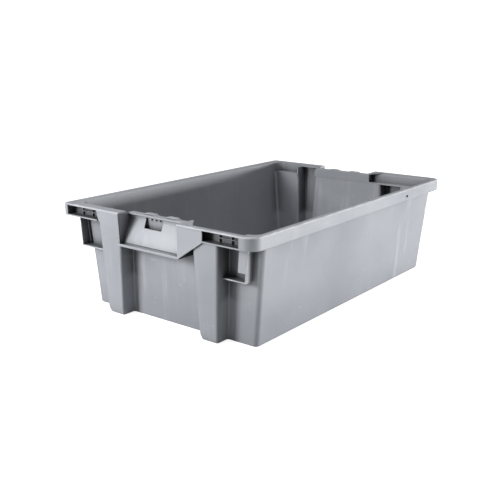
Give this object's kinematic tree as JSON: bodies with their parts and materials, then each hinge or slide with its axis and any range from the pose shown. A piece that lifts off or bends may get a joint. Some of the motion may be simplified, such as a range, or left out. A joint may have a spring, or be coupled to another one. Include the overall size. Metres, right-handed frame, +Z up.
{
  "type": "storage crate",
  "caption": "Rigid stack-and-nest plastic storage crate with offset hollow end pillars, a flat skirted rim, rim pockets and a hand hood at each end.",
  "frame": {"origin": "centre of the bounding box on the underside the crate stands on", "axes": "+X along the length, +Y across, towards the side the body is set in further under the rim, +Z up out of the crate's mouth"},
  "size_m": [0.6, 0.4, 0.175],
  "materials": {
    "crate_plastic": "satin moulded, lightly scuffed and water-marked"
  },
  "bodies": {
    "root": {"floor_panel": "crate_plastic", "long_wall_left": "crate_plastic", "long_wall_right": "crate_plastic", "end_wall_front": "crate_plastic", "end_wall_back": "crate_plastic", "corner_panel_left_front": "crate_plastic", "corner_panel_right_front": "crate_plastic", "corner_post_left_front": "crate_plastic", "corner_post_right_front": "crate_plastic", "pillar_left_front": "crate_plastic", "pillar_right_front": "crate_plastic", "foot_left_front": "crate_plastic", "foot_right_front": "crate_plastic", "rim_corner_left_front": "crate_plastic", "rim_corner_right_front": "crate_plastic", "rim_pocket_left_front": "crate_plastic", "rim_pocket_right_front": "crate_plastic", "rim_bridge_left_front": "crate_plastic", "rim_bridge_right_front": "crate_plastic", "corner_box_left_front": "crate_plastic", "corner_box_right_front": "crate_plastic", "hood_cheek_left_front": "crate_plastic", "hood_cheek_right_front": "crate_plastic", "recess_rim_front": "crate_plastic", "hood_panel_front": "crate_plastic", "hood_lip_front": "crate_plastic", "corner_panel_left_back": "crate_plastic", "corner_panel_right_back": "crate_plastic", "corner_post_left_back": "crate_plastic", "corner_post_right_back": "crate_plastic", "pillar_left_back": "crate_plastic", "pillar_right_back": "crate_plastic", "foot_left_back": "crate_plastic", "foot_right_back": "crate_plastic", "rim_corner_left_back": "crate_plastic", "rim_corner_right_back": "crate_plastic", "rim_pocket_left_back": "crate_plastic", "rim_pocket_right_back": "crate_plastic", "rim_bridge_left_back": "crate_plastic", "rim_bridge_right_back": "crate_plastic", "corner_box_left_back": "crate_plastic", "corner_box_right_back": "crate_plastic", "hood_cheek_left_back": "crate_plastic", "hood_cheek_right_back": "crate_plastic", "recess_rim_back": "crate_plastic", "hood_panel_back": "crate_plastic", "hood_lip_back": "crate_plastic", "long_rim_left": "crate_plastic", "long_rim_right": "crate_plastic"}
  },
  "joints": []
}
